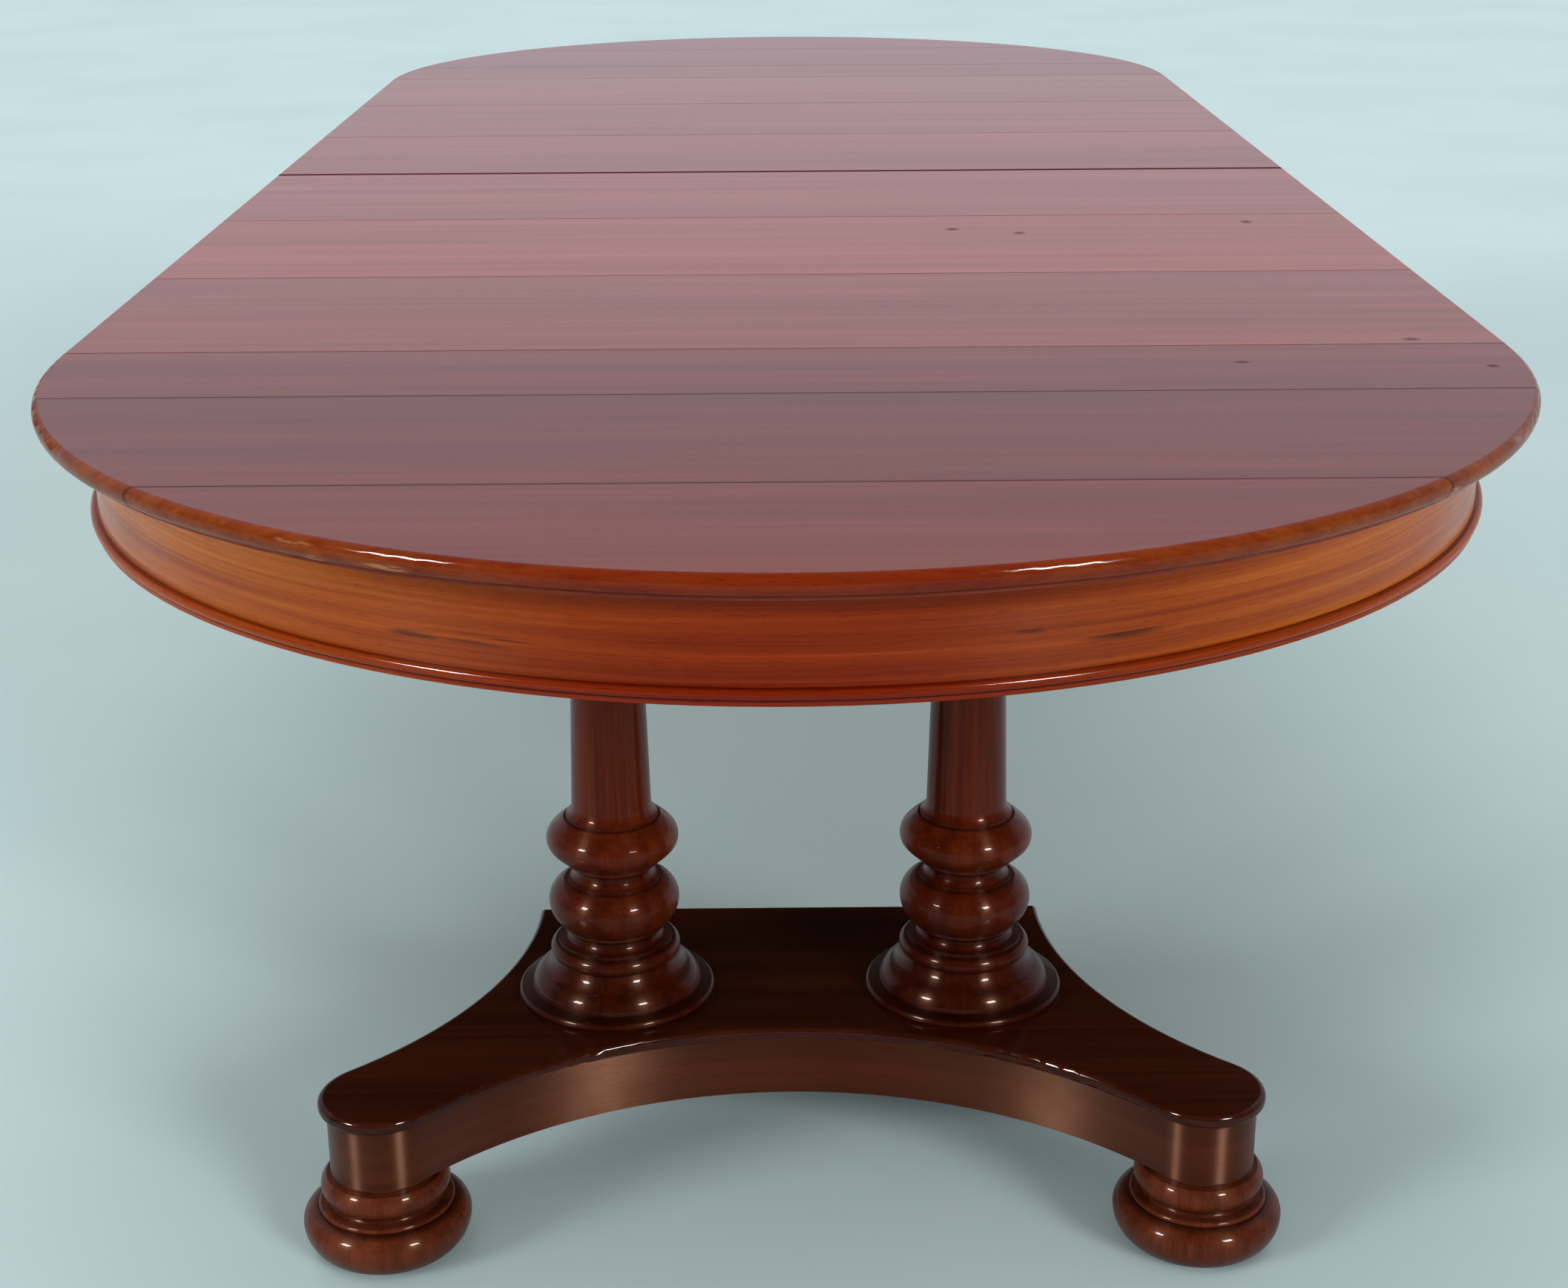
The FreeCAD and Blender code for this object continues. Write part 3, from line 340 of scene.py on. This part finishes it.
def slotted_screw(name, head_radius, head_height, shank_radius, shank_length):
    """One screw, point up, with the seat of its head at the origin and its slot across the head."""
    point_length, point_width = shank_length * 0.25, 0.15
    slot_length, slot_width, slot_depth = head_radius * 2.4, head_radius * 0.24, head_height * 0.5
    bpy.ops.object.select_all(action="DESELECT")
    bpy.ops.mesh.primitive_cylinder_add(vertices=32, radius=head_radius, depth=head_height,
                                        location=(0, 0, -head_height / 2))
    screw = bpy.context.object
    screw.name = name
    bpy.ops.object.transform_apply(location=True, rotation=True, scale=True)
    bpy.ops.object.mode_set(mode="EDIT")
    pick(lambda middle: middle.z > -head_height * 0.1)
    bpy.ops.mesh.inset(thickness=head_radius - shank_radius)
    for length in (shank_length - point_length, point_length):
        bpy.ops.mesh.extrude_region_move(TRANSFORM_OT_translate={"value": (0, 0, length)})
    bpy.ops.transform.resize(value=(point_width, point_width, 1.0), center_override=(0, 0, shank_length))
    pick(lambda middle: middle.z < -head_height * 0.9)
    bpy.ops.mesh.bevel(offset=head_height * 0.75, segments=5, affect="EDGES")
    bpy.ops.object.mode_set(mode="OBJECT")
    bpy.ops.object.shade_smooth_by_angle(angle=math.radians(35))
    bpy.ops.object.select_all(action="DESELECT")
    bpy.ops.mesh.primitive_cube_add(size=1.0, location=(0, 0, -head_height),
                                    scale=(slot_length, slot_width, slot_depth * 2))
    saw = bpy.context.object
    bpy.context.view_layer.objects.active = screw
    cut = screw.modifiers.new("slot", "BOOLEAN")
    cut.operation, cut.solver, cut.object = "DIFFERENCE", "EXACT", saw
    bpy.ops.object.modifier_apply(modifier=cut.name)
    bpy.data.objects.remove(saw)
    screw.data.materials.append(steel)
    return screw


def drive(screw, name, half, node, places):
    """Copies a screw to each place, every slot left at its own angle, and joins the copies into one piece."""
    bpy.ops.object.select_all(action="DESELECT")
    for index, place in enumerate(places):
        copy = screw.copy()
        copy.data = screw.data.copy()
        copy.location, copy.rotation_euler = place, (0, 0, FIRST_SLOT_TURN + NEXT_SLOT_TURN * index)
        bpy.context.scene.collection.objects.link(copy)
        copy.select_set(True)
        bpy.context.view_layer.objects.active = copy
    bpy.ops.object.join()
    bpy.ops.object.transform_apply(location=True, rotation=True, scale=True)
    piece = bpy.context.object
    piece.name = name
    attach(piece, f"{half}_half")
    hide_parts(node)


bearer_screw = slotted_screw("bearer_screw", head_radius=0.0060, head_height=0.003, shank_radius=0.0030,
                             shank_length=0.055)
rail_screw = slotted_screw("rail_screw", head_radius=0.0055, head_height=0.003, shank_radius=0.0025,
                           shank_length=0.044)
for half, way in HALVES.items():
    drive(bearer_screw, f"{half}_slotted_bearer_screws", half, f"{half}_bearer_screws",
          [(side * x, way * (APRON_CENTRE_Y + row), BEARER_SEAT_Z) for row in BEARER_SCREW_ROWS
           for x in (FIXED_RAIL_X[half], HEAD_BLOCK_SCREW_X) for side in SIDES.values()])
    drive(rail_screw, f"{half}_slotted_rail_screws", half, f"{half}_rail_screws",
          [(side * FIXED_RAIL_X[half], way * (APRON_CENTRE_Y + row), RAIL_SEAT_Z) for row in RAIL_SCREW_ROWS
           for side in SIDES.values()])
for screw in (bearer_screw, rail_screw):
    bpy.data.objects.remove(screw)

# Aprons: curved mahogany rims under the half-round ends, faced with figured veneer that runs round them.
# The veneer is golden at the sides and redder in the middle, with a few dark smoky marks.
APRON_RADIUS = 0.638
APRON_TONES = ((0.270, 0.0420, 0.0020), (0.400, 0.0860, 0.0036), (0.510, 0.1480, 0.0110))
MIDDLE_TINT = (0.48, 0.21, 0.28)
SMOKE = {"near": [(-0.230, 0.660, 0.060, 0.007), (-0.285, 0.657, 0.035, 0.005), (0.174, 0.670, 0.016, 0.005),
                  (0.250, 0.659, 0.050, 0.006)],
         "far": [(0.130, 0.664, 0.055, 0.006), (-0.330, 0.668, 0.035, 0.005)]}
SMOKE_SHADE = (0.14, 0.07, 0.06)
DULL_MAHOGANY = [(0.25, (0.105, 0.048, 0.024)), (0.75, (0.190, 0.092, 0.048))]
VENEER_DEPTH, VENEER_EDGE = 0.010, 0.004


def spots(tree, run, places):
    """A share that is 1 in the middle of each spot: where it is along and across, and its reach each way."""
    shares = []
    for along, across, length, width in places:
        away = put(tree, "ShaderNodeVectorMath", {0: run, 1: (along, across, 0)}, operation="SUBTRACT")
        sized = put(tree, "ShaderNodeVectorMath", {0: away.outputs["Vector"], 1: (1 / length, 1 / width, 0)},
                    operation="MULTIPLY")
        reach = put(tree, "ShaderNodeVectorMath", {0: sized.outputs["Vector"]}, operation="LENGTH")
        shares.append(rising(tree, reach.outputs["Value"], 0.2, 1.0, 1.0, 0.0))
    return highest(tree, shares)


def round_the_end(tree, half):
    """Places on a curved piece: along the curve from the middle of the end, then up, then outwards.
    The first of them is also given alone."""
    parts = put(tree, "ShaderNodeSeparateXYZ", {"Vector": on_piece(tree)}).outputs
    outward = math_on(tree, "MULTIPLY_ADD", parts["Y"], HALVES[half], -APRON_CENTRE_Y)
    angle = math_on(tree, "ARCTAN2", parts["X"], outward)
    reach = math_on(tree, "SQRT", math_on(tree, "MULTIPLY_ADD", outward, outward,
                                          math_on(tree, "MULTIPLY", parts["X"], parts["X"])))
    arc = math_on(tree, "MULTIPLY", angle, APRON_RADIUS)
    run = put(tree, "ShaderNodeCombineXYZ", {"X": arc, "Y": parts["Z"], "Z": reach}).outputs["Vector"]
    return run, arc


def in_middle(tree, arc):
    """A share that is 1 in the middle of a curved end and nothing at its sides."""
    return rising(tree, math_on(tree, "ABSOLUTE", arc), 0.05, 0.60, 1.0, 0.0)


def unpolished(tree, relief):
    """The colour of mahogany that was never stained or polished and has gone dull and brown."""
    return tone_ramp(tree, relief, DULL_MAHOGANY)


for half, way in HALVES.items():
    finish, tree = new_finish(f"{half}_apron_veneer")
    run, arc = round_the_end(tree, half)
    colour, relief = mahogany(tree, run, APRON_TONES, 75.0, (0.0, 1.9 + way, 0.0))
    colour = mixed(tree, in_middle(tree, arc), colour, MIDDLE_TINT, "MULTIPLY")
    wisps = stretched(tree, run, 9.0, 260.0, 3.0, (0.35, 0.2 * way, 0.0))
    marks = math_on(tree, "MULTIPLY", spots(tree, run, SMOKE[half]), rising(tree, wisps, 0.42, 0.56))
    colour = mixed(tree, some_of(tree, marks, 0.85), colour, SMOKE_SHADE, "MULTIPLY")
    reach = axis_of(tree, run, "Z")
    inside = rising(tree, reach, APRON_RADIUS - VENEER_DEPTH, APRON_RADIUS - VENEER_EDGE, 1.0, 0.0)
    colour = mixed(tree, inside, colour, unpolished(tree, relief))
    coat = math_on(tree, "MULTIPLY_ADD", inside, -0.2, 0.2)
    french_polish(tree, colour, relief, gloss=0.10, coat=coat, brushed=0.8, shine=0.30)
    dress(finish, f"{half}_apron")

# Apron beads: a small half-round moulding over a fillet, bent round the lower edge and glued to the veneer.
# It has the apron's colour, with painted shade in the quirks above and below it.
BEAD_TONES = ((0.230, 0.0280, 0.0022), (0.330, 0.0540, 0.0044), (0.420, 0.0920, 0.0110))
BEAD_QUIRKS = [(0.6276, 0.0016), (0.6371, 0.0012)]
for half in HALVES:
    finish, tree = new_finish(f"{half}_bead_mahogany")
    run, arc = round_the_end(tree, half)
    colour, relief = mahogany(tree, run, BEAD_TONES, 120.0, (0.0, 4.3, 0.0))
    # Painted shade in the quirks above and below the bead.
    colour = mixed(tree, some_of(tree, at_levels(tree, BEAD_QUIRKS), 0.7), colour, QUIRK_SHADE, "MULTIPLY")
    colour = mixed(tree, in_middle(tree, arc), colour, MIDDLE_TINT, "MULTIPLY")
    french_polish(tree, colour, relief, gloss=0.14, coat=0.6)
    dress(finish, f"{half}_apron_bead")

# Glue blocks: sawn pine wedges, rubbed with glue into the corner between apron and top.
# They are left rough and have yellowed.
PINE_TONES = ((0.30, 0.165, 0.060), (0.42, 0.255, 0.105), (0.53, 0.350, 0.160))
pine = bare_wood("sawn_pine", along_x, PINE_TONES, 110.0)
dress(pine, *(f"{half}_glue_blocks" for half in HALVES))

# Half-round ends: three mahogany boards glued edge to edge, sawn to the half round and moulded on the rim.
# The polish is deep and even, with a few small dents and a rubbed rim.
TOP_RADIUS = 0.6858
END_TONES = ((0.104, 0.0086, 0.0030), (0.142, 0.0140, 0.0052), (0.180, 0.0240, 0.0094))
END_STRENGTHS = {"near": 1.0, "far": 1.5}
CLOSE_JOINT = (0.0025, 0.4)
GLUE_LINES = ((APRON_CENTRE_Y + 0.1749, 0.0028, 0.55), (APRON_CENTRE_Y + 0.4567, 0.0028, 0.55))
BOARDS = {"inner": (1.00, 0.0, [(APRON_CENTRE_Y, *CLOSE_JOINT), GLUE_LINES[0]]),
          "middle": (0.90, 4.7, GLUE_LINES), "outer": (0.96, 9.1, GLUE_LINES[1:])}
# Colour of the dark joints and glue lines, also used for the painted shadow at the middle joint.
JOINT_DIRT_AND_GAP_SHADE = (0.16, 0.10, 0.09)
END_DENTS = {"near_top_inner_board": [(0.4195, -1.1368, 0.010, 0.006), (0.6438, -1.1587, 0.009, 0.008)]}
DENT_DIRT, DENT_DEPTH = (0.2, 0.14, 0.12), -3.0
RIM_STARTS, RIM_IS_FULL = TOP_RADIUS - 0.0075, TOP_RADIUS - 0.0045
# Painted shade darkens the lower, rounded-under part of the rim around this height.
RIM_SHADE_LEVEL, RIM_UNDERSIDE_SHADE = (0.7165, 0.0060), (0.50, 0.50, 0.55)
RIM_SIDE_TINT, RIM_MIDDLE_TINT = (1.35, 2.4, 0.85), (0.92, 0.75, 0.3)
SIDE_RUB = (0.543, 0.7235, 0.010, 0.0060)
END_RUBS = {"near_top_outer_board": [(-0.334, 0.7205, 0.014, 0.0045), (-0.2755, 0.7235, 0.028, 0.0040),
                                     (-0.351, 0.7315, 0.022, 0.0020), SIDE_RUB],
            "near_top_middle_board": [SIDE_RUB]}
RUBBED_WOOD = (0.42, 0.17, 0.075)


def toned(tones, strength):
    return tuple(tuple(channel * strength for channel in tone) for tone in tones)


def at_joints(tree, joints):
    """How dark the lines across the table are: where each lies along it, its reach and its darkness."""
    along = axis_of(tree, on_piece(tree), "Y")
    return highest(tree, [rising(tree, away_from(tree, along, place), reach * 0.3, reach, darkness, 0.0)
                          for place, reach, darkness in joints])


def top_board(node, tones, start, joints, rim, dents=(), rubs=()):
    """A board of the top: dirt in its joints and a painted gap shadow at the open-looking one, painted shade
    low on its rim, small dents in its polish, and a rim rubbed by use.
    The rim gives how far out a place is, the tint of the moulded edge, and places along and up it."""
    finish, tree = new_finish(f"{node}_mahogany")
    run = along_x(tree)
    colour, relief = mahogany(tree, run, tones, 40.0, start)
    # Joints are darkened: real dark joints, and a painted gap shadow at the middle joint.
    bare = at_joints(tree, joints)
    colour = mixed(tree, bare, colour, JOINT_DIRT_AND_GAP_SHADE, "MULTIPLY")
    if dents:
        dent = spots(tree, run, dents)
        colour = mixed(tree, some_of(tree, dent, 0.7), colour, DENT_DIRT, "MULTIPLY")
        relief = math_on(tree, "MULTIPLY_ADD", dent, DENT_DEPTH, relief)
        bare = highest(tree, [bare, some_of(tree, dent, 0.6)])
    reach, tint, edge_run = rim(tree)
    edge = rising(tree, reach, RIM_STARTS, RIM_IS_FULL)
    colour = mixed(tree, edge, colour, tint, "MULTIPLY")
    # Painted shade on the lower part of the moulded edge.
    rim_shade = some_of(tree, at_levels(tree, [RIM_SHADE_LEVEL]), 0.75)
    colour = mixed(tree, math_on(tree, "MULTIPLY", rim_shade, edge), colour, RIM_UNDERSIDE_SHADE, "MULTIPLY")
    if rubs:
        scuffs = stretched(tree, edge_run, 45.0, 260.0, 4.0)
        rubbed = math_on(tree, "MULTIPLY", spots(tree, edge_run, rubs), rising(tree, scuffs, 0.40, 0.56))
        colour = mixed(tree, some_of(tree, rubbed, 0.8), colour, RUBBED_WOOD)
        bare = highest(tree, [bare, some_of(tree, rubbed, 0.6)])
    facing = axis_of(tree, put(tree, "ShaderNodeNewGeometry").outputs["True Normal"], "Z")
    below = rising(tree, facing, -0.95, -0.85, 1.0, 0.0)
    colour = mixed(tree, below, colour, unpolished(tree, relief))
    bare = highest(tree, [bare, some_of(tree, edge, 0.35), below])
    french_polish(tree, colour, relief, gloss=0.09, coat=math_on(tree, "SUBTRACT", 1.0, bare))
    dress(finish, node)


def round_rim(half):
    """The moulded edge of a half-round end: red in the middle of the end, golden at its sides."""
    def rim(tree):
        edge_run, arc = round_the_end(tree, half)
        tint = mixed(tree, in_middle(tree, arc), RIM_SIDE_TINT, RIM_MIDDLE_TINT)
        return axis_of(tree, edge_run, "Z"), tint, edge_run
    return rim


for half, way in HALVES.items():
    for board, (strength, start, joints) in BOARDS.items():
        node = f"{half}_top_{board}_board"
        tones = toned(END_TONES, strength * END_STRENGTHS[half])
        lines = [(way * place, reach, darkness) for place, reach, darkness in joints]
        top_board(node, tones, (0.3 * start, start + 20.0 * way, 0.0), lines, round_rim(half),
                  END_DENTS.get(node, ()), END_RUBS.get(node, ()))

# Leaves: six loose mahogany boards across the table, rounded at their two ends and pinned edge to edge.
# Each is cut from its own plank, so grain and tone change at every joint. The middle joint is painted with a
# wide shadow, as if it stood open.
LEAF_WIDTH = 0.3556
LEAF_TONES = ((0.185, 0.0290, 0.0170), (0.240, 0.0440, 0.0280), (0.295, 0.0640, 0.0430))
LEAF_STRENGTHS = (0.86, 1.12, 1.08, 1.00, 1.06, 1.04)
LEAF_DENTS = {1: [(0.5964, -1.0474, 0.012, 0.008)],
              2: [(0.2017, -0.4467, 0.012, 0.012), (0.2782, -0.4742, 0.010, 0.012),
                  (0.5566, -0.4114, 0.010, 0.014)]}
LEAF_RIM_TINT = (1.40, 1.35, 0.32)
# A wide, dark painted shadow along the middle joint, as of a gap standing open; its polish is taken off too.
PAINTED_GAP_SHADOW = (0.010, 0.95)


def straight_rim(tree):
    """The moulded edge at the two ends of a leaf, golden like the sides of the half-round ends."""
    across = axis_of(tree, on_piece(tree), "X")
    return math_on(tree, "ABSOLUTE", across), LEAF_RIM_TINT, along_y(tree)


for leaf, strength in zip(LEAVES, LEAF_STRENGTHS):
    near_edge = (leaf - 1) * LEAF_WIDTH - APRON_CENTRE_Y
    joints = [(place, *(PAINTED_GAP_SHADOW if abs(place) < LEAF_WIDTH / 2 else CLOSE_JOINT))
              for place in (near_edge, near_edge + LEAF_WIDTH)]
    top_board(f"leaf_{leaf}", toned(LEAF_TONES, strength), (1.3 * leaf, 3.7 * leaf, 0.0), joints,
              straight_rim, LEAF_DENTS.get(leaf, ()))

# Floor, lights and camera: a plain pale floor under wide soft light from the front, the back and overhead.
# Two square lamps in front give the highlights alone, and pale walls of light show in the polish.
FLOOR_SIZE = 400.0
FLOOR_TONES = [(0.3, (0.47, 0.60, 0.61)), (0.7, (0.51, 0.63, 0.64))]
NEAR_BASE, MIDDLE = (0, -1.3, 0.45), (0, 0, 0.45)
LAMP_POWER, LAMP_SIZE, LAMP_SPREAD = 150.0, 1.10, math.radians(110)
LAMPS = {"left_lamp": (-4.42, -4.02, 3.70), "right_lamp": (3.32, -5.21, 3.70)}
WIDE_LIGHTS = {"left_light": (1.55, 20, (-4.42, -4.02, 2.20), NEAR_BASE),
               "right_light": (2.00, 20, (3.32, -5.21, 2.20), NEAR_BASE),
               "back_light": (1.00, 40, (-0.80, 6.00, 3.60), MIDDLE),
               "ceiling_light": (1.00, 80, (-0.84, -1.28, 6.00), NEAR_BASE)}
WALL_TONES = [(0.0, (0.05, 0.052, 0.058)), (1.0, (0.55, 0.56, 0.63))]
ROOM_LIGHT, BACKDROP = (0.36, 0.37, 0.38), (0.60, 0.73, 0.76)
CAMERA_PLACE = (-0.0101, -3.3227, 1.2537)
CAMERA_YAW, CAMERA_PITCH, CAMERA_ROLL = (math.radians(angle) for angle in (0.179, 19.843, 0.384))
CAMERA_LENS, CAMERA_SENSOR, CAMERA_REACH = 55.82, 36.0, 1000.0

bpy.ops.object.select_all(action="DESELECT")
bpy.ops.mesh.primitive_plane_add(size=FLOOR_SIZE, location=(0, 0, 0))
floor = bpy.context.object
floor.name = "floor"
finish, tree = new_finish("pale_floor")
surfaced(tree, {"Base Color": tone_ramp(tree, cloudy(tree, 1.3, 4.0), FLOOR_TONES), "Roughness": 0.85,
                "Specular IOR Level": 0.0})
floor.data.materials.append(finish)


def placed_light(name, kind, energy, place, aim):
    """A light that shines from its place towards its aim."""
    light = bpy.data.objects.new(name, bpy.data.lights.new(name, kind))
    light.data.energy = energy
    light.location = place
    light.rotation_euler = (Vector(aim) - Vector(place)).to_track_quat("-Z", "Y").to_euler()
    bpy.context.scene.collection.objects.link(light)
    return light


for name, place in LAMPS.items():
    lamp = placed_light(name, "AREA", LAMP_POWER, place, NEAR_BASE)
    lamp.data.shape, lamp.data.size, lamp.data.spread = "SQUARE", LAMP_SIZE, LAMP_SPREAD
    lamp.visible_diffuse = False
for name, (strength, softness, place, aim) in WIDE_LIGHTS.items():
    light = placed_light(name, "SUN", strength, place, aim)
    light.data.angle = math.radians(softness)
    light.visible_glossy = False

world = bpy.data.worlds.new("pale_studio")
bpy.context.scene.world = world
world.use_nodes = True
tree = world.node_tree
tree.nodes.clear()
ray = put(tree, "ShaderNodeLightPath").outputs
seen = math_on(tree, "MAXIMUM", ray["Is Camera Ray"], ray["Is Transmission Ray"])
ahead = axis_of(tree, put(tree, "ShaderNodeTexCoord").outputs["Generated"], "Y")
wall = tone_ramp(tree, rising(tree, ahead, -0.20, 0.60), WALL_TONES)
colour = mixed(tree, ray["Is Glossy Ray"], ROOM_LIGHT, wall)
colour = mixed(tree, seen, colour, BACKDROP)
background = put(tree, "ShaderNodeBackground", {"Color": colour, "Strength": 1.0})
put(tree, "ShaderNodeOutputWorld", {"Surface": background.outputs["Background"]})

camera_data = bpy.data.cameras.new("camera")
camera_data.sensor_fit = "HORIZONTAL"
camera_data.sensor_width, camera_data.lens, camera_data.clip_end = CAMERA_SENSOR, CAMERA_LENS, CAMERA_REACH
camera = bpy.data.objects.new("camera", camera_data)
camera.matrix_world = (Matrix.Translation(CAMERA_PLACE) @ Matrix.Rotation(-CAMERA_YAW, 4, "Z")
                       @ Matrix.Rotation(math.pi / 2 - CAMERA_PITCH, 4, "X")
                       @ Matrix.Rotation(-CAMERA_ROLL, 4, "Z"))
bpy.context.scene.collection.objects.link(camera)
bpy.context.scene.camera = camera
bpy.context.scene.view_settings.view_transform = "Standard"
